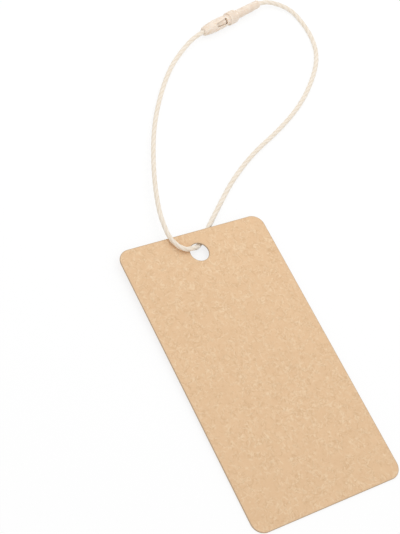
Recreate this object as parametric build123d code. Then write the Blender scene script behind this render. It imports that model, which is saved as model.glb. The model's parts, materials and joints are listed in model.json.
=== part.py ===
from build123d import *
import os
from math import asin, cos, degrees, pi, radians, sin, tan

# A blank gift tag of kraft card, lying on a table, with a loop of twisted cord through its hole.
# The cord's two ends are moulded into the halves of a push-in lock: a socket, and a pin with barbs.
# Millimetres. X runs across the card, Y up the card to the hole, Z up, and the table is at Z = 0.

# Card
card_width = 50.0
card_length = 90.0
card_thickness = 0.45
corner_radius = 3.8
hole_diameter = 6.0
hole_edge_distance = 6.9  # from the hole's middle to the card's top edge

# Cord
cord_diameter = 1.5
strand_clearance = 0.3  # between the card's back and the strand under it
cord_depth_in_socket = 2.5
cord_depth_in_pin = 2.2
cord_room_in_pin = 0.05  # all round the cord's end
socket_lead = 3.5  # how far the cord runs straight out of the socket
pin_lead = 2.8  # how far the cord runs straight out of the pin

# Socket half of the lock
spindle_length = 12.0
spindle_end_diameter = 2.9
spindle_diameter = 4.1  # where it is widest
spindle_widest_place = 5.5  # from the cord end
spindle_neck_diameter = 3.5  # beside the collar
spindle_swell = 0.08  # how far the spindle's sides bow out from straight tapers
collar_diameter = 4.55
collar_length = 3.5
spindle_end_edge = 0.65  # softened edge at the cord end
socket_edge = 0.3  # softened edges of the collar
latch_place = 10.5  # from the cord end to the face that the barbs catch on
chamber_length = 5.3
chamber_diameter = 2.9
window_width = 2.2  # beside the latch face
window_tip_width = 1.3  # at the window's other end
window_turn = 38.0  # degrees, from straight up towards the card

# Pin half of the lock
stem_diameter = 1.3
stem_clearance = 0.15  # all round the stem in the collar
barrel_length = 11.7
barrel_diameter = 3.2  # at the shoulder that meets the collar
barrel_end_diameter = 2.8
barrel_edge = 0.15
shoulder_gap = 0.1  # between the shoulder and the collar's mouth
barb_diameter = 2.7
barb_tip_diameter = 2.0
barb_length = 4.4
barb_gap = 0.4  # between the barbs and the latch face
barb_slit = 1.1
barb_root = 0.7  # uncut length behind the slit

# Where the lock lies on the table, from the hole's middle
lock_place_x = 42.0
lock_place_y = 77.9
lock_heading = 15.9  # degrees, from X towards Y

cut_overrun = 1.0

# The card leans on the strand behind it: its bottom edge and that strand touch the table.
hole_height_on_card = card_length - hole_edge_distance
card_tilt = asin((cord_diameter + strand_clearance) / hole_height_on_card)
card_foot_y = -(card_length * cos(card_tilt) - card_thickness * sin(card_tilt)) / 2
hole_y = card_foot_y + hole_height_on_card * cos(card_tilt)

# The lock lies on its collar. Its own X axis runs from the socket's cord end to the pin's.
socket_length = spindle_length + collar_length
lock_length = socket_length + shoulder_gap + barrel_length
lock_axis_height = collar_diameter / 2
lock_frame = Plane(
    origin=(lock_place_x, hole_y + lock_place_y, lock_axis_height),
    x_dir=(cos(radians(lock_heading)), sin(radians(lock_heading)), 0),
    z_dir=(0, 0, 1),
)

# The cord's route between its two straight ends, from the socket over the card's face, down through
# the hole, under the card's top edge and round to the pin. X and Y are from the hole's middle, and Z
# is the height of the cord's middle over the table.
cord_route = [
    (32.5, 73.5, 1.25),
    (24.5, 67.5, 0.75),
    (16.0, 58.0, 0.85),
    (8.0, 47.0, 1.5),
    (1.5, 35.5, 2.75),
    (-3.5, 24.5, 3.45),
    (-6.5, 15.5, 3.5),
    (-7.4, 9.3, 3.45),
    (-7.3, 5.7, 3.4),
    (-6.0, 2.6, 3.4),
    (-4.0, 1.2, 3.4),
    (-1.6, 1.3, 3.05),
    (0.1, 1.9, 1.35),
    (1.7, 2.8, 0.75),
    (4.6, 5.0, 0.75),
    (9.0, 8.9, 0.75),
    (15.0, 14.0, 0.75),
    (24.0, 21.5, 0.75),
    (36.0, 29.0, 0.75),
    (49.5, 35.0, 0.75),
    (62.5, 42.5, 0.75),
    (73.0, 51.5, 0.75),
    (80.0, 60.0, 0.75),
    (82.5, 68.0, 0.75),
    (82.5, 75.0, 0.75),
    (81.0, 81.0, 1.05),
    (76.5, 84.5, 1.65),
]
arc_share = 0.45  # of the shorter run beside a corner that its arc takes up


def along_lock(distance):
    """A point on the lock's axis, measured from the socket's cord end."""
    return lock_frame.from_local_coords(Vector(distance, 0, 0))


def rod(start, end, start_diameter, end_diameter):
    """A round rod along the lock's axis, straight or tapered."""
    profile = Polyline((start, 0), (start, start_diameter / 2), (end, end_diameter / 2), (end, 0), close=True)
    return revolve(make_face(profile), Axis.X)


def tag_card():
    """Die-cut card with rounded corners and one punched hole, leaning back on the strand behind it."""
    outline = RectangleRounded(card_width, card_length, corner_radius, align=(Align.CENTER, Align.MIN))
    outline -= Pos(0, hole_height_on_card) * Circle(hole_diameter / 2)
    card = extrude(outline, amount=card_thickness)
    return Pos(0, card_foot_y, 0) * Rot(degrees(card_tilt), 0, 0) * card


def cord_path():
    """Straight runs joined by arcs as large as the runs allow, from inside the socket to inside the pin."""
    first = [along_lock(cord_depth_in_socket), along_lock(-socket_lead)]
    last = [along_lock(lock_length + pin_lead), along_lock(lock_length - cord_depth_in_pin)]
    points = first + [Vector(x, hole_y + y, z) for x, y, z in cord_route] + last
    radii = []
    for before, corner, after in zip(points, points[1:], points[2:]):
        turn = (corner - before).get_angle(after - corner)
        shorter_run = min((corner - before).length, (after - corner).length)
        radii.append(arc_share * shorter_run / tan(radians(turn) / 2))
    print("cord radii", [round(radius, 1) for radius in radii])
    return FilletPolyline(*points, radius=radii)


def cord():
    """One length of cord as a round tube along its route."""
    path = cord_path()
    section = Plane(origin=path @ 0, z_dir=path % 0) * Circle(cord_diameter / 2)
    tube = sweep(section, path)
    section_area = pi * cord_diameter**2 / 4
    volume_share = tube.volume / (section_area * path.length)
    print("cord length", round(path.length, 1), "volume share", round(volume_share, 4))
    return tube


def lock_socket():
    """Spindle with a collar at its mouth, a chamber for the barbs and a tapered window into the chamber."""
    collar_radius = collar_diameter / 2
    side = Line((0, 0), (0, spindle_end_diameter / 2 - spindle_end_edge))
    side += Line(side @ 1, (spindle_end_edge, spindle_end_diameter / 2))
    side += SagittaArc(side @ 1, (spindle_widest_place, spindle_diameter / 2), spindle_swell)
    side += SagittaArc(side @ 1, (spindle_length, spindle_neck_diameter / 2), spindle_swell)
    side += Polyline(
        (spindle_length, spindle_neck_diameter / 2),
        (spindle_length, collar_radius - socket_edge),
        (spindle_length + socket_edge, collar_radius),
        (socket_length - socket_edge, collar_radius),
        (socket_length, collar_radius - socket_edge),
        (socket_length, 0),
        (0, 0),
    )
    socket = revolve(make_face(side), Axis.X)
    throat_diameter = stem_diameter + 2 * stem_clearance
    socket -= rod(-cut_overrun, cord_depth_in_socket, cord_diameter, cord_diameter)
    chamber_start = latch_place - chamber_length
    socket -= rod(chamber_start, latch_place, chamber_diameter, chamber_diameter)
    socket -= rod(latch_place - cut_overrun, socket_length + cut_overrun, throat_diameter, throat_diameter)
    window = Polyline(
        (chamber_start, -window_tip_width / 2),
        (latch_place, -window_width / 2),
        (latch_place, window_width / 2),
        (chamber_start, window_tip_width / 2),
        close=True,
    )
    socket -= Rot(window_turn, 0, 0) * extrude(make_face(window), amount=collar_diameter)
    return lock_frame.location * socket


def barb_base():
    """Where the stem ends and the barbs begin, along the lock's axis."""
    return latch_place - barb_gap


def lock_pin():
    """Tapered barrel with a shoulder against the collar and a thin stem that reaches into the chamber."""
    shoulder = socket_length + shoulder_gap
    profile = Polyline(
        (shoulder, 0),
        (shoulder, barrel_diameter / 2 - barrel_edge),
        (shoulder + barrel_edge, barrel_diameter / 2),
        (lock_length - barrel_edge, barrel_end_diameter / 2),
        (lock_length, barrel_end_diameter / 2 - barrel_edge),
        (lock_length, 0),
        close=True,
    )
    pin = revolve(make_face(profile), Axis.X)
    pin += rod(barb_base(), shoulder + barrel_edge, stem_diameter, stem_diameter)
    cord_hole_diameter = cord_diameter + 2 * cord_room_in_pin
    cord_hole_end = lock_length - cord_depth_in_pin - cord_room_in_pin
    pin -= rod(cord_hole_end, lock_length + cut_overrun, cord_hole_diameter, cord_hole_diameter)
    return lock_frame.location * pin


def pin_barbs():
    """Split arrowhead on the stem's end, which closes up as it is pushed through the collar. It springs open
    towards the window."""
    tip = barb_base() - barb_length
    head = rod(tip, barb_base(), barb_tip_diameter, barb_diameter)
    slit_depth = barb_diameter + cut_overrun
    slit = Box(barb_length, slit_depth, barb_slit, align=(Align.MAX, Align.CENTER, Align.CENTER))
    head -= Rot(window_turn, 0, 0) * Pos(barb_base() - barb_root, 0, 0) * slit
    return lock_frame.location * head


os.makedirs("parts", exist_ok=True)
for piece in (tag_card, cord, lock_socket, lock_pin, pin_barbs):
    export_step(piece(), f"parts/{piece.__name__}.step")
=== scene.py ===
import json
from math import asin, atan2, cos, pi, radians, sin, sqrt, tau

import bmesh
import bpy
from bpy.props import FloatProperty, FloatVectorProperty, PointerProperty
from mathutils import Matrix, Vector, noise


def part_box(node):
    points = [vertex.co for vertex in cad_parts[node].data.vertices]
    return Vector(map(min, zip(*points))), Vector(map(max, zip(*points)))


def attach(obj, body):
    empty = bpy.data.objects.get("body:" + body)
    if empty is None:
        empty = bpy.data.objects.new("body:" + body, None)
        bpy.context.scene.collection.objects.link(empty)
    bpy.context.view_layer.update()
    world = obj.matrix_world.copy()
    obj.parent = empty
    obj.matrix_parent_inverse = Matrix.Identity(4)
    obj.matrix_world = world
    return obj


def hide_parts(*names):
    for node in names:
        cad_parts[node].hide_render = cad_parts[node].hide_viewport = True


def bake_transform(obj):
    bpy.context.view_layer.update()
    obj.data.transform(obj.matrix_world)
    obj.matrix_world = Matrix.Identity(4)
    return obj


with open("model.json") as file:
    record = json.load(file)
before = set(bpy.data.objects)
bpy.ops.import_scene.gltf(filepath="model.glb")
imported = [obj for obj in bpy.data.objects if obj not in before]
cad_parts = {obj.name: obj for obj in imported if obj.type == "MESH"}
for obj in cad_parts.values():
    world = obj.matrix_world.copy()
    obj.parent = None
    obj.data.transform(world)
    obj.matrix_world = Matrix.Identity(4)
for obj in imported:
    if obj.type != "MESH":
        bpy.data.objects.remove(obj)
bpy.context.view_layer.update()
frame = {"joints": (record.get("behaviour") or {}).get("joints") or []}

bl_info = {
    "name": "Gift Tag",
    "version": (1, 0, 0),
    "blender": (4, 5, 0),
    "location": "3D View > Sidebar > Gift Tag",
    "description": "Dresses a kraft card gift tag, its twisted cord loop and its push-in lock",
    "category": "Object",
}

# Everything is in metres, in the part's own frame: X across the card, Y up the card, Z up from the table.
joints = {joint["name"]: joint for joint in frame["joints"]}
hole_middle = Vector(joints["loop_swing"]["pos_m"])
lock_direction = Vector(joints["lock_slide"]["axis"])
lock_heading = atan2(lock_direction.y, lock_direction.x)

# The cord's route from the socket over the card's face, down through the hole, under the card's top
# edge and round to the pin. X and Y are from the hole's middle, and Z is the height of the cord's middle.
cord_route = [
    (0.0325, 0.0735, 0.00125),
    (0.0245, 0.0675, 0.00075),
    (0.0160, 0.0580, 0.00085),
    (0.0080, 0.0470, 0.00150),
    (0.0015, 0.0355, 0.00275),
    (-0.0035, 0.0245, 0.00345),
    (-0.0065, 0.0155, 0.00350),
    (-0.0074, 0.0093, 0.00345),
    (-0.0073, 0.0057, 0.00340),
    (-0.0060, 0.0026, 0.00340),
    (-0.0040, 0.0012, 0.00340),
    (-0.0016, 0.0013, 0.00305),
    (0.0001, 0.0019, 0.00135),
    (0.0017, 0.0028, 0.00075),
    (0.0046, 0.0050, 0.00075),
    (0.0090, 0.0089, 0.00075),
    (0.0150, 0.0140, 0.00075),
    (0.0240, 0.0215, 0.00075),
    (0.0360, 0.0290, 0.00075),
    (0.0495, 0.0350, 0.00075),
    (0.0625, 0.0425, 0.00075),
    (0.0730, 0.0515, 0.00075),
    (0.0800, 0.0600, 0.00075),
    (0.0825, 0.0680, 0.00075),
    (0.0825, 0.0750, 0.00075),
    (0.0810, 0.0810, 0.00105),
    (0.0765, 0.0845, 0.00165),
]

# How finely round shapes are divided
CORNER_STEPS = 14
SPIN_STEPS = 72
EDGE_STEPS = 3
SIDE_STEPS = 8
PLIES = 3
PLY_SIDES = 10
SPLINE_STEPS = 40

MILLIMETRES = 1000.0
MERGE_DISTANCE = 1e-7
SHARP_ANGLE = radians(35)  # past which an edge isn't shaded smooth
RIM_ANGLE = radians(60)  # past which an edge of the card is one of its cut rims
FLAT_SLOPE = radians(10)  # up to which a part of the card counts as its face
NEAREST_SEEN = 0.01  # as a share of the camera's distance
WHITE = "FFFFFF"

# Most of a noise pattern's values lie between these, and it changes this much over one of its lengths.
NOISE_LOW = 0.35
NOISE_MIDDLE = 0.5
NOISE_HIGH = 0.65
NOISE_SLOPE = 0.6

# The card's longer fibres, as times the length of its shortest, and how far apart in noise its layers lie
FIBRE_LENGTHS = (1.2, 1.45, 1.75, 2.1)
LAYER_STEP = 7.3


def linear(hex_colour):
    """An sRGB hex colour as linear red, green, blue and alpha."""
    shares = [int(hex_colour[i : i + 2], 16) / 255 for i in (0, 2, 4)]
    return (*[s / 12.92 if s <= 0.04045 else ((s + 0.055) / 1.055) ** 2.4 for s in shares], 1.0)


def length_setting(name, default, description):
    """A length in metres that a user may change."""
    return FloatProperty(
        name=name, description=description, default=default, min=0.0, precision=5, unit="LENGTH"
    )


def angle_setting(name, degrees, description):
    """An angle that a user may change."""
    return FloatProperty(name=name, description=description, default=radians(degrees), subtype="ANGLE")


def share_setting(name, default, description):
    """A share from 0 to 1 that a user may change."""
    return FloatProperty(
        name=name, description=description, default=default, min=0.0, max=1.0, subtype="FACTOR"
    )


def colour_setting(name, hex_colour, description):
    """A surface colour that a user may change."""
    return FloatVectorProperty(
        name=name,
        description=description,
        default=linear(hex_colour),
        size=4,
        min=0.0,
        max=1.0,
        subtype="COLOR",
    )


class CardSettings(bpy.types.PropertyGroup):
    """The die-cut card."""

    width: length_setting("Width", 0.050, "Across the card")
    length: length_setting("Length", 0.090, "From the bottom edge to the top edge")
    thickness: length_setting("Thickness", 0.00045, "Of the board")
    corner_radius: length_setting("Corner radius", 0.0038, "Of the four rounded corners")
    hole_diameter: length_setting("Hole", 0.006, "Diameter of the punched hole")
    hole_edge_distance: length_setting("Hole distance", 0.0069, "From the hole's middle to the top edge")
    rim_radius: length_setting("Rim radius", 0.00013, "Of the cut edges, pressed round by the die")
    rim_width: length_setting("Rim width", 0.0004, "How far in from the cut edges the die marks the face")
    face_colour: colour_setting("Face", "E5C19A", "Plain colour of the board's face")
    pale_colour: colour_setting("Pale fibres", "F3DAB8", "Of the palest fibres in the face")
    dark_colour: colour_setting("Dark fibres", "C09A70", "Of the darkest fibres in the face")
    edge_colour: colour_setting("Cut edge", "BFA78C", "Of the board where it is cut")
    fibre_length: length_setting("Fibre length", 0.0016, "How far a fibre shows before it dips under others")
    fibre_width: length_setting("Fibre width", 0.00017, "Of one fibre as it shows in the face")
    cloud_size: length_setting("Cloud size", 0.0035, "Of the patches where the pulp lies thicker")
    mottle_size: length_setting("Mottle size", 0.0008, "Of the small flecks in the pulp")
    relief: length_setting("Relief", 0.00003, "Height of the fibres in the face")
    layer_height: length_setting("Layer height", 0.00009, "Of the layers that show in the cut edge")
    # The pale and dark fibre shares set fibre colour that is partly the fibres' own colour and partly painted
    # highlight and painted shade.
    pale_fibre_and_highlight_share: share_setting("Pale share", 0.60, "How strongly the pale fibres show")
    dark_fibre_and_shade_share: share_setting("Dark share", 0.34, "How strongly the dark fibres show")
    cloud_share: share_setting("Cloud share", 0.10, "How strongly the thicker patches show")
    mottle_share: share_setting("Mottle share", 0.12, "How strongly the small flecks show")
    rim_share: share_setting("Rim share", 0.6, "How much of the cut edge's colour shows beside it")
    layer_share: share_setting("Layer share", 0.3, "How strongly the layers show in the cut edge")


class CordSettings(bpy.types.PropertyGroup):
    """The twisted cord."""

    diameter: length_setting("Diameter", 0.0015, "Of the whole cord")
    length: length_setting("Length", 0.2418, "From inside the socket to inside the pin")
    lay: length_setting("Lay", 0.0078, "Along the cord in one turn of its plies")
    ply_diameter: length_setting("Ply", 0.00122, "Diameter of one of the three plies, pressed together")
    ply_spread: length_setting("Ply spread", 0.00017, "From the cord's middle to a ply's middle")
    unevenness: share_setting("Unevenness", 0.04, "How much the cord's thickness varies")
    unevenness_length: length_setting("Uneven length", 0.004, "Along the cord from thick to thin")
    thread_length: length_setting("Thread length", 0.0022, "How far a thread shows along the cord")
    thread_width: length_setting("Thread width", 0.00012, "Of one thread in a ply")
    thread_height: length_setting("Thread height", 0.00004, "Of the threads in the cord's surface")
    socket_lead: length_setting("Socket lead", 0.0035, "How far the cord runs straight out of the socket")
    pin_lead: length_setting("Pin lead", 0.0028, "How far the cord runs straight out of the pin")
    crown_colour: colour_setting("Crown", "F4EBDF", "Of the plies where they stand out")
    # The groove colour is painted shade deep between the plies, and is also the colour of the darker threads.
    # The groove share is how strongly that painted shade shows.
    thread_and_groove_shade_colour: colour_setting("Groove", "DFCEB5", "Deep between the plies")
    groove_shade_share: share_setting("Groove share", 0.7, "How strongly the grooves between the plies show")
    thread_share: share_setting("Thread share", 0.3, "How strongly the threads show")


class LockSettings(bpy.types.PropertyGroup):
    """The two halves of the push-in lock."""

    place_x: length_setting("Place X", 0.0420, "Of the socket's cord end, across from the hole's middle")
    place_y: length_setting("Place Y", 0.0779, "Of the socket's cord end, up from the hole's middle")
    spindle_length: length_setting("Spindle", 0.0120, "From the cord end to the collar")
    spindle_end_diameter: length_setting("Spindle end", 0.0029, "At the cord end")
    spindle_diameter: length_setting("Spindle width", 0.0041, "Where the spindle is widest")
    spindle_widest_place: length_setting("Widest place", 0.0055, "From the cord end to the widest place")
    spindle_neck_diameter: length_setting("Spindle neck", 0.0035, "Beside the collar")
    spindle_swell: length_setting("Swell", 0.00008, "How far the spindle's sides bow out")
    collar_diameter: length_setting("Collar", 0.00455, "Diameter of the collar")
    collar_length: length_setting("Collar length", 0.0035, "Along the lock")
    spindle_end_edge: length_setting("End edge", 0.00065, "Radius of the edge at the spindle's cord end")
    socket_edge: length_setting("Collar edges", 0.0003, "Radius of the collar's edges and of the barbs' tip")
    neck_fillet: length_setting("Neck fillet", 0.0002, "Radius of the corner beside the collar")
    cord_depth_in_socket: length_setting("Cord in socket", 0.0025, "How deep the cord goes into the socket")
    latch_place: length_setting("Latch", 0.0105, "From the cord end to the face that the barbs catch on")
    chamber_length: length_setting("Chamber", 0.0053, "Along the lock, and of the window over it")
    chamber_diameter: length_setting("Chamber width", 0.0029, "Room for the barbs to open in")
    window_width: length_setting("Window width", 0.0022, "Beside the latch face")
    window_tip_width: length_setting("Window tip", 0.0013, "Across the window's other end")
    window_corner: length_setting("Window corners", 0.0004, "Radius of the window's corners")
    window_turn: angle_setting("Window turn", 38.0, "From straight up towards the card")
    stem_diameter: length_setting("Stem", 0.0013, "Of the pin's stem")
    stem_clearance: length_setting("Stem room", 0.00015, "All round the stem in the collar")
    shoulder_gap: length_setting("Shoulder gap", 0.0001, "Between the barrel and the collar")
    barrel_length: length_setting("Barrel", 0.0117, "From the shoulder to the cord end")
    barrel_diameter: length_setting("Barrel width", 0.0032, "At the shoulder")
    barrel_end_diameter: length_setting("Barrel end", 0.0028, "At the cord end")
    barrel_edge: length_setting("Barrel edges", 0.00015, "Radius of the barrel's edges")
    cord_depth_in_pin: length_setting("Cord in pin", 0.0022, "How deep the cord goes into the pin")
    cord_room_in_pin: length_setting("Cord room", 0.00005, "All round the cord's end in the pin")
    barb_diameter: length_setting("Barbs", 0.0027, "Across the barbs when open")
    barb_tip_diameter: length_setting("Barb tip", 0.0020, "Across the barbs' tip")
    barb_length: length_setting("Barb length", 0.0044, "Along the lock")
    barb_swell: length_setting("Barb swell", 0.00012, "How far the barbs' sides bow out")
    barb_gap: length_setting("Barb gap", 0.0004, "Between the barbs and the latch face")
    barb_slit: length_setting("Slit", 0.0011, "Between the two barbs")
    barb_root: length_setting("Barb root", 0.0007, "Uncut length behind the slit")
    inner_edge: length_setting("Inner edges", 0.00006, "Radius of the moulding's small edges")
    colour: colour_setting("Plastic", "EEE0D1", "Of the moulded plastic")
    cloud_colour: colour_setting("Clouds", "E7D7C6", "Of the clouds in the plastic")
    cloud_size: length_setting("Cloud size", 0.0025, "Of the clouds in the plastic")
    texture_size: length_setting("Texture size", 0.00012, "Of the mould's fine texture")
    texture_height: length_setting("Texture height", 0.00001, "Of the mould's fine texture")
    light_depth: length_setting("Light depth", 0.0005, "How far light spreads in the plastic")


class StageSettings(bpy.types.PropertyGroup):
    """The table, the light and the camera."""

    table_width: length_setting("Table", 12.0, "Across the pale table")
    table_drop: length_setting("Table drop", 0.00001, "How far the table lies below the part")
    table_colour: colour_setting("Table colour", "F2F2F2", "Of the table as it lights the part")
    table_glow: share_setting("Table glow", 0.8, "How far the table's shadows are lightened in the picture")
    key_turn: angle_setting("Key turn", 32.0, "From straight up the card to its right")
    key_height: angle_setting("Key height", 62.0, "Over the table")
    key_distance: length_setting("Key distance", 0.20, "From the card's hole")
    key_width: length_setting("Key width", 0.26, "Across the round soft light")
    key_level: share_setting("Key level", 0.18, "Of plain white, that the key light gives at the hole")
    fill_level: share_setting("Fill level", 0.855, "Of plain white, that the light all round gives")
    camera_distance: length_setting("Distance", 0.35687, "From the camera to the point it looks at")
    camera_turn: angle_setting("Turn", -52.39, "Of the camera round the part, from straight below the card")
    camera_height: angle_setting("Height", 53.45, "Of the camera over the table")
    camera_roll: angle_setting("Roll", 29.9, "Of the camera about its own axis")
    camera_lens: FloatProperty(
        name="Lens", description="Focal length for a 36 mm picture", default=81.45, unit="CAMERA"
    )
    camera_aim: FloatVectorProperty(
        name="Aim",
        description="The point that the camera looks at",
        default=(-0.00107, 0.03432, 0.0),
        unit="LENGTH",
    )


# Meshes


def finished_piece(bm, name, materials, matrix=Matrix.Identity(4), sharp_angle=SHARP_ANGLE):
    """Makes a bmesh an object that sits at the origin, with its place in its mesh."""
    mesh = bpy.data.meshes.new(name)
    bm.to_mesh(mesh)
    bm.free()
    mesh.transform(matrix)
    mesh.shade_smooth()
    mesh.set_sharp_from_angle(angle=sharp_angle)
    for material in materials:
        mesh.materials.append(material)
    piece = bpy.data.objects.new(name, mesh)
    bpy.context.scene.collection.objects.link(piece)
    return piece


def rounded(bm, geom, radius, affect):
    """Rounds edges or corners by a radius."""
    bmesh.ops.bevel(
        bm,
        geom=geom,
        offset=radius,
        affect=affect,
        segments=EDGE_STEPS,
        profile=0.5,
        material=-1,
        clamp_overlap=True,
    )


def spun(profile, edges):
    """Turns a line of (along, out) points about X. edges holds (radius, numbers of the points it rounds)."""
    bm = bmesh.new()
    points = [bm.verts.new((along, out, 0.0)) for along, out in profile]
    for start, end in zip(points, points[1:]):
        bm.edges.new((start, end))
    for radius, numbers in edges:
        rounded(bm, [points[number] for number in numbers], radius, "VERTICES")
    bmesh.ops.spin(
        bm,
        geom=bm.verts[:] + bm.edges[:],
        cent=(0, 0, 0),
        axis=(1, 0, 0),
        dvec=(0, 0, 0),
        angle=tau,
        steps=SPIN_STEPS,
        use_merge=True,
    )
    bmesh.ops.remove_doubles(bm, verts=bm.verts, dist=MERGE_DISTANCE)
    bmesh.ops.recalc_face_normals(bm, faces=bm.faces)
    return bm


def cut_away(bm, cutter):
    """Takes the cutter's shape out of a solid, and gives the result as a new bmesh."""
    solids = []
    for shape, name in ((bm, "solid"), (cutter, "cutter")):
        mesh = bpy.data.meshes.new(name)
        shape.to_mesh(mesh)
        shape.free()
        solids.append(bpy.data.objects.new(name, mesh))
        bpy.context.scene.collection.objects.link(solids[-1])
    solid, tool = solids
    cut = solid.modifiers.new("cut", "BOOLEAN")
    cut.object = tool
    cut.operation = "DIFFERENCE"
    cut.solver = "EXACT"
    result = bpy.data.meshes.new_from_object(solid.evaluated_get(bpy.context.evaluated_depsgraph_get()))
    cut_shape = bmesh.new()
    cut_shape.from_mesh(result)
    bpy.data.meshes.remove(result)
    for used in solids:
        bpy.data.meshes.remove(used.data)
    if not cut_shape.faces:
        raise RuntimeError("the cut left nothing of the solid")
    return cut_shape


def card_mesh(card):
    """A rounded sheet with a hole, as thick as the board, with its cut edges a little rounded. Its pressed
    attribute is 1 beside the cut edges and 0 farther in."""
    bm = bmesh.new()
    bmesh.ops.create_grid(bm, x_segments=1, y_segments=1, size=0.5)
    bmesh.ops.scale(bm, vec=(card.width, card.length, 1.0), verts=bm.verts)
    bmesh.ops.translate(bm, vec=(0.0, card.length / 2, 0.0), verts=bm.verts)
    bmesh.ops.bevel(
        bm,
        geom=bm.verts[:],
        offset=card.corner_radius,
        affect="VERTICES",
        segments=CORNER_STEPS,
        profile=0.5,
        material=-1,
    )
    bmesh.ops.delete(bm, geom=bm.faces[:], context="FACES_ONLY")
    bmesh.ops.create_circle(
        bm,
        segments=len(bm.verts),
        radius=card.hole_diameter / 2,
        matrix=Matrix.Translation((0.0, card.length - card.hole_edge_distance, 0.0)),
    )
    bmesh.ops.triangle_fill(bm, edges=bm.edges[:], use_beauty=True)
    pressed = bm.verts.layers.float.new("pressed")
    bmesh.ops.inset_region(
        bm, faces=bm.faces[:], use_boundary=True, use_even_offset=True, thickness=card.rim_width, depth=0.0
    )
    for vertex in bm.verts:
        vertex[pressed] = float(vertex.is_boundary)
    raised = bmesh.ops.extrude_face_region(bm, geom=bm.faces[:])["geom"]
    raised_points = [item for item in raised if isinstance(item, bmesh.types.BMVert)]
    bmesh.ops.translate(bm, vec=(0.0, 0.0, card.thickness), verts=raised_points)
    bmesh.ops.recalc_face_normals(bm, faces=bm.faces)
    rims = [edge for edge in bm.edges if edge.calc_face_angle() > RIM_ANGLE]
    rounded(bm, rims, card.rim_radius, "EDGES")
    for face in bm.faces:
        face.material_index = 0 if abs(face.normal.z) > cos(FLAT_SLOPE) else 1
    return bm


def lock_matrix(lock):
    """From the lock's own frame, with X from the socket's cord end to the pin's, to the part's frame."""
    cord_end = Vector((hole_middle.x + lock.place_x, hole_middle.y + lock.place_y, lock.collar_diameter / 2))
    return Matrix.Translation(cord_end) @ Matrix.Rotation(lock_heading, 4, "Z")


def along_lock(lock, distance):
    """A point on the lock's axis, measured from the socket's cord end."""
    return lock_matrix(lock) @ Vector((distance, 0.0, 0.0))


def lock_length(lock):
    """From the socket's cord end to the pin's."""
    return lock.spindle_length + lock.collar_length + lock.shoulder_gap + lock.barrel_length


def bowed_side(start, end, swell):
    """Points from start up to end, as (along, out), on a parabola that bows out by the swell."""
    side = []
    for step in range(SIDE_STEPS):
        share = step / SIDE_STEPS
        along = start[0] + share * (end[0] - start[0])
        out = start[1] + share * (end[1] - start[1])
        side.append((along, out + 4 * swell * share * (1 - share)))
    return side


def socket_mesh(lock, cord):
    """A spindle that swells, narrows and ends in a collar, moulded round the cord, hollow for the barbs and
    with a tapered window in its side."""
    collar_radius = lock.collar_diameter / 2
    throat_radius = lock.stem_diameter / 2 + lock.stem_clearance
    chamber_radius = lock.chamber_diameter / 2
    chamber_start = lock.latch_place - lock.chamber_length
    socket_length = lock.spindle_length + lock.collar_length
    cord_end = (0.0, lock.spindle_end_diameter / 2)
    widest = (lock.spindle_widest_place, lock.spindle_diameter / 2)
    neck = (lock.spindle_length, lock.spindle_neck_diameter / 2)
    waist = cord_waist(cord)
    profile = [(lock.cord_depth_in_socket, 0.0), (lock.cord_depth_in_socket, waist), (0.0, waist)]
    mouth_number = len(profile) - 1
    profile += bowed_side(cord_end, widest, lock.spindle_swell)
    profile += bowed_side(widest, neck, lock.spindle_swell)
    profile.append(neck)
    collar_number = len(profile)
    profile += [
        (lock.spindle_length, collar_radius),
        (socket_length, collar_radius),
        (socket_length, throat_radius),
        (lock.latch_place, throat_radius),
        (lock.latch_place, chamber_radius),
        (chamber_start, chamber_radius),
        (chamber_start, 0.0),
    ]
    edges = [
        (lock.spindle_end_edge, [mouth_number + 1]),
        (lock.neck_fillet, [collar_number - 1]),
        (lock.socket_edge, [collar_number, collar_number + 1]),
        (lock.inner_edge, [mouth_number, collar_number + 2]),
    ]
    body = spun(profile, edges)
    window = bmesh.new()
    bmesh.ops.create_cube(window, size=1.0)
    window_size = (lock.chamber_length, lock.window_width, lock.collar_diameter)
    bmesh.ops.scale(window, vec=window_size, verts=window.verts)
    tip = [vertex for vertex in window.verts if vertex.co.x < 0]
    bmesh.ops.scale(window, vec=(1.0, lock.window_tip_width / lock.window_width, 1.0), verts=tip)
    upright = [edge for edge in window.edges if edge.verts[0].co.z * edge.verts[1].co.z < 0]
    rounded(window, upright, lock.window_corner, "EDGES")
    middle = lock.latch_place - lock.chamber_length / 2
    bmesh.ops.translate(window, vec=(middle, 0.0, lock.collar_diameter / 2), verts=window.verts)
    turn = Matrix.Rotation(lock.window_turn, 3, "X")
    bmesh.ops.rotate(window, cent=(0, 0, 0), matrix=turn, verts=window.verts)
    return cut_away(body, window)


def pin_mesh(lock, cord):
    """A tapered barrel with a shoulder and a thin stem in front, moulded round the cord behind."""
    shoulder = lock.spindle_length + lock.collar_length + lock.shoulder_gap
    end = lock_length(lock)
    stem_radius = lock.stem_diameter / 2
    waist = cord_waist(cord)
    cord_hole_end = end - lock.cord_depth_in_pin - lock.cord_room_in_pin
    front = lock.latch_place - lock.barb_gap
    profile = [
        (front, 0.0),
        (front, stem_radius),
        (shoulder, stem_radius),
        (shoulder, lock.barrel_diameter / 2),
        (end, lock.barrel_end_diameter / 2),
        (end, waist),
        (cord_hole_end, waist),
        (cord_hole_end, 0.0),
    ]
    shoulder_foot, shoulder_rim, end_rim, end_mouth = range(2, 6)
    edges = [
        (lock.barrel_edge, [shoulder_rim, end_rim]),
        (lock.inner_edge, [shoulder_foot, end_mouth]),
    ]
    return spun(profile, edges)


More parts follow.
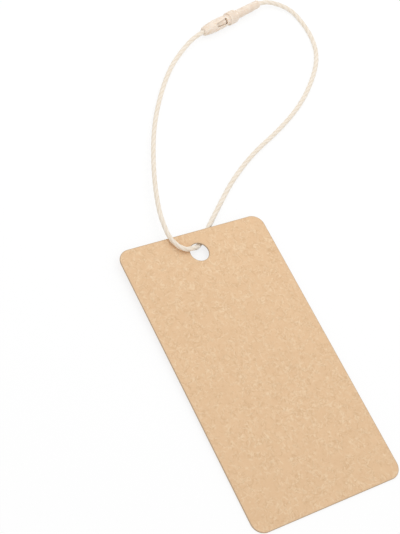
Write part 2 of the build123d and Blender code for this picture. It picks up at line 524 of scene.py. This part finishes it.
def barbs_mesh(lock):
    """A split arrowhead on the stem's end, which springs open towards the window."""
    base = lock.latch_place - lock.barb_gap
    tip = base - lock.barb_length
    widest = (base, lock.barb_diameter / 2)
    profile = [(tip, 0.0)]
    tip_rim = len(profile)
    profile += bowed_side((tip, lock.barb_tip_diameter / 2), widest, lock.barb_swell)
    base_rim = len(profile)
    profile += [widest, (base, 0.0)]
    head = spun(profile, [(lock.socket_edge, [tip_rim]), (lock.inner_edge, [base_rim])])
    slit = bmesh.new()
    bmesh.ops.create_cube(slit, size=1.0)
    bmesh.ops.scale(slit, vec=(lock.barb_length, lock.collar_diameter, lock.barb_slit), verts=slit.verts)
    middle = tip + lock.barb_length / 2 - lock.barb_root
    bmesh.ops.translate(slit, vec=(middle, 0.0, 0.0), verts=slit.verts)
    turn = Matrix.Rotation(lock.window_turn, 3, "X")
    bmesh.ops.rotate(slit, cent=(0, 0, 0), matrix=turn, verts=slit.verts)
    return cut_away(head, slit)


def cord_line(lock, cord):
    """Points along the cord's smooth line, read from a NURBS spline with its route as control points."""
    end = lock_length(lock)
    controls = [along_lock(lock, lock.cord_depth_in_socket), along_lock(lock, -cord.socket_lead)]
    controls += [Vector((hole_middle.x + x, hole_middle.y + y, z)) for x, y, z in cord_route]
    controls += [along_lock(lock, end + cord.pin_lead), along_lock(lock, end - lock.cord_depth_in_pin)]
    curve = bpy.data.curves.new("cord_route", "CURVE")
    curve.dimensions = "3D"
    curve.resolution_u = SPLINE_STEPS
    spline = curve.splines.new("NURBS")
    spline.points.add(len(controls) - 1)
    for point, place in zip(spline.points, controls):
        point.co = (*place, 1.0)
    spline.order_u = 3
    spline.use_endpoint_u = True
    carrier = bpy.data.objects.new("cord_route", curve)
    line = bpy.data.meshes.new_from_object(carrier)
    points = [vertex.co.copy() for vertex in line.vertices]
    bpy.data.meshes.remove(line)
    bpy.data.curves.remove(curve)
    return points


def cord_places(points):
    """For each point of the cord's line, how far along it lies and which way the cord faces there."""
    places = []
    along = 0.0
    heading = points[1] - points[0]
    facing = heading.to_track_quat("X", "Z").to_matrix()
    for before, point, after in zip(points[:1] + points, points, points[1:] + points[-1:]):
        along += (point - before).length
        facing = heading.rotation_difference(after - before).to_matrix() @ facing
        heading = after - before
        places.append((along, facing))
    return places


def ply_radius_at(cord, angle):
    """How far out the surface of the three plies is, at an angle round the cord."""
    from_crown = angle % (tau / PLIES) - pi / PLIES
    aside = cord.ply_spread * sin(from_crown)
    return cord.ply_spread * cos(from_crown) + sqrt((cord.ply_diameter / 2) ** 2 - aside**2)


def cord_waist(cord):
    """Radius of the cord deep between its plies, where the cord is thinnest."""
    return ply_radius_at(cord, 0.0) * (1 - cord.unevenness)


def cord_mesh(points, cord):
    """Three twisted plies as one closed tube, rolled up from a flat grid. Its straight attribute holds each
    vertex's place on the same cord pulled straight, along X."""
    bm = bmesh.new()
    straight = bm.verts.layers.float_vector.new("straight")
    rows = len(points) - 1
    columns = PLIES * PLY_SIDES
    bmesh.ops.create_grid(bm, x_segments=rows, y_segments=columns, size=0.5)
    places = cord_places(points)
    for vertex in bm.verts:
        row = round((vertex.co.x + 0.5) * rows)
        angle = tau * (vertex.co.y + 0.5)
        along, facing = places[row]
        swell = noise.noise(Vector((along / cord.unevenness_length, 0.0, 0.0)))
        radius = ply_radius_at(cord, angle) * (1 + cord.unevenness * swell)
        turned = angle + tau * along / cord.lay
        vertex[straight] = (along, radius * cos(turned), radius * sin(turned))
        vertex.co = points[row] + facing @ Vector((0.0, radius * cos(turned), radius * sin(turned)))
    bmesh.ops.remove_doubles(bm, verts=bm.verts, dist=MERGE_DISTANCE)
    bmesh.ops.edgeloop_fill(bm, edges=[edge for edge in bm.edges if edge.is_boundary])
    bmesh.ops.recalc_face_normals(bm, faces=bm.faces)
    return bm


# Materials


def add_node(tree, kind, inputs=None, **settings):
    """Adds a node with its settings, and sets or links its inputs."""
    node = tree.nodes.new(kind)
    for name, value in settings.items():
        setattr(node, name, value)
    for socket, value in (inputs or {}).items():
        if isinstance(value, bpy.types.NodeSocket):
            tree.links.new(value, node.inputs[socket])
        else:
            node.inputs[socket].default_value = value
    return node


def new_material(name):
    """An empty material and its tree."""
    material = bpy.data.materials.new(name)
    material.use_nodes = True
    material.node_tree.nodes.clear()
    return material, material.node_tree


def object_millimetres(tree):
    """Places on the piece, in millimetres."""
    place = add_node(tree, "ShaderNodeTexCoord")
    scaled = add_node(
        tree, "ShaderNodeVectorMath", {0: place.outputs["Object"], "Scale": MILLIMETRES}, operation="SCALE"
    )
    return scaled.outputs["Vector"]


def layered_colour(tree, plain, layers):
    """A plain colour with others laid over it. layers holds (pattern, most of it that shows, colour)."""
    colour = plain
    for pattern, most, other in layers:
        share = add_node(tree, "ShaderNodeMath", {0: pattern, 1: most}, operation="MULTIPLY")
        mixed = add_node(
            tree, "ShaderNodeMix", {"Factor": share.outputs[0], 6: colour, 7: other}, data_type="RGBA"
        )
        colour = mixed.outputs[2]
    return colour


def fibre_layer(tree, place, width, length, number):
    """Pale and dark fibres that curl every way, in part the fibres' own colour and in part painted highlight
    and painted shade on their raised sides: 1 along a fibre and 0 between. A fibre follows a line of equal
    height in a noise pattern, and shows only where another noise pattern is high. Layers with different
    numbers have different fibres."""
    pattern = add_node(
        tree,
        "ShaderNodeTexNoise",
        {"Vector": place, "W": LAYER_STEP * number, "Scale": 1 / (length * MILLIMETRES), "Detail": 1.0},
        noise_dimensions="4D",
    )
    heights = add_node(tree, "ShaderNodeSeparateColor", {"Color": pattern.outputs["Color"]})
    fibre_edge = NOISE_SLOPE * width / length
    seen = add_node(
        tree,
        "ShaderNodeMapRange",
        {"Value": heights.outputs["Blue"], "From Min": NOISE_MIDDLE, "From Max": NOISE_HIGH},
    )
    fibres = []
    for height in ("Red", "Green"):
        lifted = add_node(
            tree, "ShaderNodeMath", {0: heights.outputs[height], 1: NOISE_MIDDLE}, operation="SUBTRACT"
        )
        away = add_node(tree, "ShaderNodeMath", {0: lifted.outputs[0]}, operation="ABSOLUTE")
        line = add_node(
            tree,
            "ShaderNodeMapRange",
            {"Value": away.outputs[0], "From Max": fibre_edge, "To Min": 1.0, "To Max": 0.0},
        )
        fibre = add_node(
            tree, "ShaderNodeMath", {0: line.outputs[0], 1: seen.outputs[0]}, operation="MULTIPLY"
        )
        fibres.append(fibre.outputs[0])
    return fibres


def kraft_face(card):
    """Unbleached kraft board, uncoated and pressed between rollers. It is matt and tan, with pale and dark
    wood fibres that lie every way, drawn partly as painted highlight and painted shade on raised fibres,
    and soft clouds where the pulp lies thicker. A wood fibre is about 0.03 mm wide, too fine to show, so
    the fibres are drawn as bundles more than five times as wide."""
    material, tree = new_material("uncoated_kraft_board")
    place = object_millimetres(tree)
    patterns = {}
    for name, size, detail in (("clouds", card.cloud_size, 3.0), ("mottle", card.mottle_size, 2.0)):
        noise_node = add_node(
            tree, "ShaderNodeTexNoise", {"Vector": place, "Scale": 1 / (size * MILLIMETRES), "Detail": detail}
        )
        spread = add_node(
            tree,
            "ShaderNodeMapRange",
            {"Value": noise_node.outputs["Fac"], "From Min": NOISE_LOW, "From Max": NOISE_HIGH},
        )
        patterns[name] = spread.outputs[0]
    # The pale fibres are partly painted highlight, and the dark fibres are partly painted shade, on the
    # raised sides of fibres.
    pale_fibres_and_highlights, dark_fibres_and_shade = fibre_layer(tree, place, card.fibre_width, card.fibre_length, 0)
    for number, times in enumerate(FIBRE_LENGTHS, 1):
        length = times * card.fibre_length
        more_pale_fibres_and_highlights, more_dark_fibres_and_shade = fibre_layer(tree, place, card.fibre_width, length, number)
        pale_fibres_and_highlights = add_node(tree, "ShaderNodeMath", {0: pale_fibres_and_highlights, 1: more_pale_fibres_and_highlights}, operation="MAXIMUM").outputs[0]
        dark_fibres_and_shade = add_node(tree, "ShaderNodeMath", {0: dark_fibres_and_shade, 1: more_dark_fibres_and_shade}, operation="MAXIMUM").outputs[0]
    pressed = add_node(tree, "ShaderNodeAttribute", attribute_name="pressed")
    colour = layered_colour(
        tree,
        card.face_colour,
        [
            (patterns["clouds"], card.cloud_share, card.dark_colour),
            (patterns["mottle"], card.mottle_share, card.pale_colour),
            (pale_fibres_and_highlights, card.pale_fibre_and_highlight_share, card.pale_colour),
            (dark_fibres_and_shade, card.dark_fibre_and_shade_share, card.dark_colour),
            (pressed.outputs["Fac"], card.rim_share, card.edge_colour),
        ],
    )
    relief = add_node(tree, "ShaderNodeMath", {0: pale_fibres_and_highlights, 1: patterns["mottle"]}, operation="ADD")
    bump = add_node(
        tree, "ShaderNodeBump", {"Height": relief.outputs[0], "Strength": 0.4, "Distance": card.relief}
    )
    roughness = add_node(
        tree, "ShaderNodeMapRange", {"Value": patterns["mottle"], "To Min": 0.82, "To Max": 0.95}
    )
    shader = add_node(
        tree,
        "ShaderNodeBsdfPrincipled",
        {
            "Base Color": colour,
            "Roughness": roughness.outputs[0],
            "Normal": bump.outputs["Normal"],
            "IOR": 1.46,
            "Specular IOR Level": 0.3,
        },
    )
    add_node(tree, "ShaderNodeOutputMaterial", {"Surface": shader.outputs[0]})
    return material


def kraft_edge(card):
    """The same board where a steel die has cut it: darker, burnished at its rims, with the ends of its
    fibres in fine layers."""
    material, tree = new_material("die_cut_kraft_edge")
    place = object_millimetres(tree)
    fibre = card.fibre_length * MILLIMETRES
    layers = add_node(
        tree,
        "ShaderNodeMapping",
        {"Vector": place, "Scale": (1 / fibre, 1 / fibre, 1 / (card.layer_height * MILLIMETRES))},
    )
    pattern = add_node(
        tree, "ShaderNodeTexNoise", {"Vector": layers.outputs["Vector"], "Scale": 1.0, "Detail": 3.0}
    )
    spread = add_node(
        tree,
        "ShaderNodeMapRange",
        {"Value": pattern.outputs["Fac"], "From Min": NOISE_LOW, "From Max": NOISE_HIGH},
    )
    colour = layered_colour(tree, card.edge_colour, [(spread.outputs[0], card.layer_share, card.dark_colour)])
    bump = add_node(
        tree,
        "ShaderNodeBump",
        {"Height": pattern.outputs["Fac"], "Strength": 0.6, "Distance": card.layer_height / 2},
    )
    shader = add_node(
        tree,
        "ShaderNodeBsdfPrincipled",
        {
            "Base Color": colour,
            "Roughness": 0.92,
            "Normal": bump.outputs["Normal"],
            "IOR": 1.46,
            "Specular IOR Level": 0.2,
        },
    )
    add_node(tree, "ShaderNodeOutputMaterial", {"Surface": shader.outputs[0]})
    return material


def waxed_cotton(cord):
    """Waxed cotton cord of three plies. It is cream and softly matt, with fine threads along the cord,
    and painted shade that darkens it deep between the plies. A cotton thread is about 0.05 mm wide, too
    fine to show, so the threads are drawn more than twice as wide."""
    material, tree = new_material("waxed_cotton_cord")
    straight = add_node(tree, "ShaderNodeAttribute", attribute_name="straight")
    untwisted = add_node(
        tree,
        "ShaderNodeVectorMath",
        {
            0: straight.outputs["Vector"],
            1: (1 / cord.thread_length, 1 / cord.thread_width, 1 / cord.thread_width),
        },
        operation="MULTIPLY",
    )
    thread = add_node(
        tree, "ShaderNodeTexNoise", {"Vector": untwisted.outputs["Vector"], "Scale": 1.0, "Detail": 2.0}
    )
    threads = add_node(
        tree,
        "ShaderNodeMapRange",
        {"Value": thread.outputs["Fac"], "From Min": NOISE_LOW, "From Max": NOISE_HIGH},
    )
    section = add_node(
        tree,
        "ShaderNodeVectorMath",
        {0: straight.outputs["Vector"], 1: (0.0, 1.0, 1.0)},
        operation="MULTIPLY",
    )
    out = add_node(tree, "ShaderNodeVectorMath", {0: section.outputs["Vector"]}, operation="LENGTH")
    # Painted shade: deep between the plies the colour is darkened towards the groove colour, standing for the
    # shade in the grooves.
    crown = cord.ply_spread + cord.ply_diameter / 2
    groove_shade = add_node(
        tree,
        "ShaderNodeMapRange",
        {"Value": out.outputs["Value"], "From Min": crown, "From Max": cord_waist(cord)},
    )
    colour = layered_colour(
        tree,
        cord.crown_colour,
        [
            (groove_shade.outputs[0], cord.groove_shade_share, cord.thread_and_groove_shade_colour),
            (threads.outputs[0], cord.thread_share, cord.thread_and_groove_shade_colour),
        ],
    )
    bump = add_node(
        tree,
        "ShaderNodeBump",
        {"Height": thread.outputs["Fac"], "Strength": 0.4, "Distance": cord.thread_height},
    )
    shader = add_node(
        tree,
        "ShaderNodeBsdfPrincipled",
        {
            "Base Color": colour,
            "Roughness": 0.7,
            "Normal": bump.outputs["Normal"],
            "IOR": 1.5,
            "Specular IOR Level": 0.35,
            "Sheen Weight": 0.2,
            "Sheen Roughness": 0.5,
        },
    )
    add_node(tree, "ShaderNodeOutputMaterial", {"Surface": shader.outputs[0]})
    return material


def moulded_plastic(lock):
    """Injection-moulded polypropylene. It is cream and satin, a little clouded inside, and finely textured
    by the spark-cut mould."""
    material, tree = new_material("moulded_polypropylene")
    place = object_millimetres(tree)
    clouds = add_node(
        tree,
        "ShaderNodeTexNoise",
        {"Vector": place, "Scale": 1 / (lock.cloud_size * MILLIMETRES), "Detail": 2.0},
    )
    texture = add_node(
        tree,
        "ShaderNodeTexNoise",
        {"Vector": place, "Scale": 1 / (lock.texture_size * MILLIMETRES), "Detail": 1.0},
    )
    cloudiness = add_node(
        tree,
        "ShaderNodeMapRange",
        {"Value": clouds.outputs["Fac"], "From Min": NOISE_LOW, "From Max": NOISE_HIGH},
    )
    colour = layered_colour(tree, lock.colour, [(cloudiness.outputs[0], 1.0, lock.cloud_colour)])
    roughness = add_node(
        tree,
        "ShaderNodeMapRange",
        {
            "Value": texture.outputs["Fac"],
            "From Min": NOISE_LOW,
            "From Max": NOISE_HIGH,
            "To Min": 0.45,
            "To Max": 0.58,
        },
    )
    bump = add_node(
        tree,
        "ShaderNodeBump",
        {"Height": texture.outputs["Fac"], "Strength": 0.25, "Distance": lock.texture_height},
    )
    shader = add_node(
        tree,
        "ShaderNodeBsdfPrincipled",
        {
            "Base Color": colour,
            "Roughness": roughness.outputs[0],
            "Normal": bump.outputs["Normal"],
            "IOR": 1.49,
            "Specular IOR Level": 0.35,
            "Subsurface Weight": 1.0,
            "Subsurface Radius": (1.0, 1.0, 1.0),
            "Subsurface Scale": lock.light_depth,
        },
    )
    add_node(tree, "ShaderNodeOutputMaterial", {"Surface": shader.outputs[0]})
    return material


def seen_directly(tree):
    """1 for rays from the camera, straight or by way of gloss or glass, and 0 for other rays."""
    path = add_node(tree, "ShaderNodeLightPath")
    seen = path.outputs["Is Camera Ray"]
    for kind in ("Is Glossy Ray", "Is Transmission Ray"):
        either = add_node(tree, "ShaderNodeMath", {0: seen, 1: path.outputs[kind]}, operation="MAXIMUM")
        seen = either.outputs[0]
    return seen


def pale_table(stage):
    """Matt white paper. It looks plain white with lightened shadows, and sends a little less light back
    to the part."""
    material, tree = new_material("matt_white_paper")
    seen = seen_directly(tree)
    colour = add_node(
        tree, "ShaderNodeMix", {"Factor": seen, 6: stage.table_colour, 7: linear(WHITE)}, data_type="RGBA"
    )
    paper = add_node(tree, "ShaderNodeBsdfDiffuse", {"Color": colour.outputs[2]})
    glow = add_node(tree, "ShaderNodeEmission", {"Color": linear(WHITE), "Strength": 1.0})
    share = add_node(tree, "ShaderNodeMath", {0: seen, 1: stage.table_glow}, operation="MULTIPLY")
    surface = add_node(
        tree, "ShaderNodeMixShader", {"Fac": share.outputs[0], 1: paper.outputs[0], 2: glow.outputs[0]}
    )
    add_node(tree, "ShaderNodeOutputMaterial", {"Surface": surface.outputs[0]})
    return material


# Operators


def upwards(turn, height):
    """A direction that rises by an angle from the table, turned to the right from straight up the card."""
    return Vector((sin(turn) * cos(height), cos(turn) * cos(height), sin(height)))


class GIFTTAG_OT_card(bpy.types.Operator):
    """Make the die-cut card"""

    bl_idname = "gift_tag.card"
    bl_label = "Card"

    def execute(self, context):
        card = context.scene.gift_tag_card
        low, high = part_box("tag_card")
        lean = asin((high.z - low.z - card.thickness) / card.length)
        foot = Matrix.Translation((0.0, low.y + card.thickness * sin(lean), low.z))
        place = foot @ Matrix.Rotation(lean, 4, "X")
        piece = finished_piece(card_mesh(card), "kraft_blank", [kraft_face(card), kraft_edge(card)], place)
        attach(piece, "tag")
        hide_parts("tag_card")
        return {"FINISHED"}


class GIFTTAG_OT_lock(bpy.types.Operator):
    """Make the lock's socket, its pin and the pin's barbs"""

    bl_idname = "gift_tag.lock"
    bl_label = "Lock"

    def execute(self, context):
        lock = context.scene.gift_tag_lock
        cord = context.scene.gift_tag_cord
        plastic = moulded_plastic(lock)
        pieces = [
            ("socket_half", socket_mesh(lock, cord), "loop", "lock_socket"),
            ("pin_half", pin_mesh(lock, cord), "pin", "lock_pin"),
            ("split_barbs", barbs_mesh(lock), "pin", "pin_barbs"),
        ]
        for name, bm, body, node in pieces:
            piece = finished_piece(bm, name, [plastic], lock_matrix(lock))
            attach(piece, body)
            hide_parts(node)
        return {"FINISHED"}


class GIFTTAG_OT_cord(bpy.types.Operator):
    """Make the twisted cord between the lock's halves"""

    bl_idname = "gift_tag.cord"
    bl_label = "Cord"

    def execute(self, context):
        cord = context.scene.gift_tag_cord
        lock = context.scene.gift_tag_lock
        points = cord_line(lock, cord)
        piece = finished_piece(cord_mesh(points, cord), "twisted_cord", [waxed_cotton(cord)], sharp_angle=pi)
        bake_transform(piece)
        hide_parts("cord")
        return {"FINISHED"}


class GIFTTAG_OT_stage(bpy.types.Operator):
    """Set up the pale table, the soft light and the camera"""

    bl_idname = "gift_tag.stage"
    bl_label = "Stage"

    def execute(self, context):
        stage = context.scene.gift_tag_stage
        scene = context.scene
        scene.view_settings.view_transform = "Standard"
        table = bmesh.new()
        bmesh.ops.create_grid(table, x_segments=1, y_segments=1, size=stage.table_width / 2)
        bmesh.ops.translate(table, vec=(0.0, 0.0, -stage.table_drop), verts=table.verts)
        finished_piece(table, "pale_table", [pale_table(stage)])

        # The soft key light stands near the card's top, so the light falls off a little down the card. Its
        # energy is what gives a level surface at the hole the key level.
        key_data = bpy.data.lights.new("key_light", "AREA")
        key_data.shape = "DISK"
        key_data.size = stage.key_width
        reach = stage.key_distance**2 + (stage.key_width / 2) ** 2
        key_data.energy = stage.key_level * pi**2 * reach / sin(stage.key_height)
        key = bpy.data.objects.new("key_light", key_data)
        towards_key = upwards(stage.key_turn, stage.key_height)
        key.location = hole_middle + towards_key * stage.key_distance
        key.rotation_euler = towards_key.to_track_quat("Z", "Y").to_euler()
        scene.collection.objects.link(key)

        world = bpy.data.worlds.new("soft_fill")
        world.use_nodes = True
        tree = world.node_tree
        tree.nodes.clear()
        strength = add_node(
            tree,
            "ShaderNodeMapRange",
            {"Value": seen_directly(tree), "To Min": stage.fill_level, "To Max": 1.0},
        )
        fill = add_node(
            tree, "ShaderNodeBackground", {"Color": linear(WHITE), "Strength": strength.outputs[0]}
        )
        add_node(tree, "ShaderNodeOutputWorld", {"Surface": fill.outputs["Background"]})
        scene.world = world

        camera_data = bpy.data.cameras.new("camera")
        camera_data.lens = stage.camera_lens
        camera_data.clip_start = stage.camera_distance * NEAREST_SEEN
        camera = bpy.data.objects.new("camera", camera_data)
        away = upwards(pi - stage.camera_turn, stage.camera_height)
        facing = away.to_track_quat("Z", "Y").to_matrix() @ Matrix.Rotation(stage.camera_roll, 3, "Z")
        place = Vector(stage.camera_aim) + away * stage.camera_distance
        camera.matrix_world = Matrix.Translation(place) @ facing.to_4x4()
        scene.collection.objects.link(camera)
        scene.camera = camera
        return {"FINISHED"}


class GIFTTAG_PT_panel(bpy.types.Panel):
    """Gift tag settings and pieces"""

    bl_idname = "GIFTTAG_PT_panel"
    bl_label = "Gift Tag"
    bl_space_type = "VIEW_3D"
    bl_region_type = "UI"
    bl_category = "Gift Tag"

    def draw(self, context):
        for name, operator in steps:
            box = self.layout.box()
            box.operator(operator.bl_idname)
            settings = getattr(context.scene, name)
            for setting in settings.__annotations__:
                box.prop(settings, setting)


steps = [
    ("gift_tag_card", GIFTTAG_OT_card),
    ("gift_tag_lock", GIFTTAG_OT_lock),
    ("gift_tag_cord", GIFTTAG_OT_cord),
    ("gift_tag_stage", GIFTTAG_OT_stage),
]
settings_groups = {
    "gift_tag_card": CardSettings,
    "gift_tag_lock": LockSettings,
    "gift_tag_cord": CordSettings,
    "gift_tag_stage": StageSettings,
}
classes = [*settings_groups.values(), *[operator for name, operator in steps], GIFTTAG_PT_panel]


def register():
    for cls in classes:
        bpy.utils.register_class(cls)
    for name, group in settings_groups.items():
        setattr(bpy.types.Scene, name, PointerProperty(type=group))


def unregister():
    for name in settings_groups:
        delattr(bpy.types.Scene, name)
    for cls in reversed(classes):
        bpy.utils.unregister_class(cls)


def main():
    register()
    bpy.ops.gift_tag.card()
    bpy.ops.gift_tag.lock()
    bpy.ops.gift_tag.cord()
    bpy.ops.gift_tag.stage()


if __name__ == "__main__":
    main()
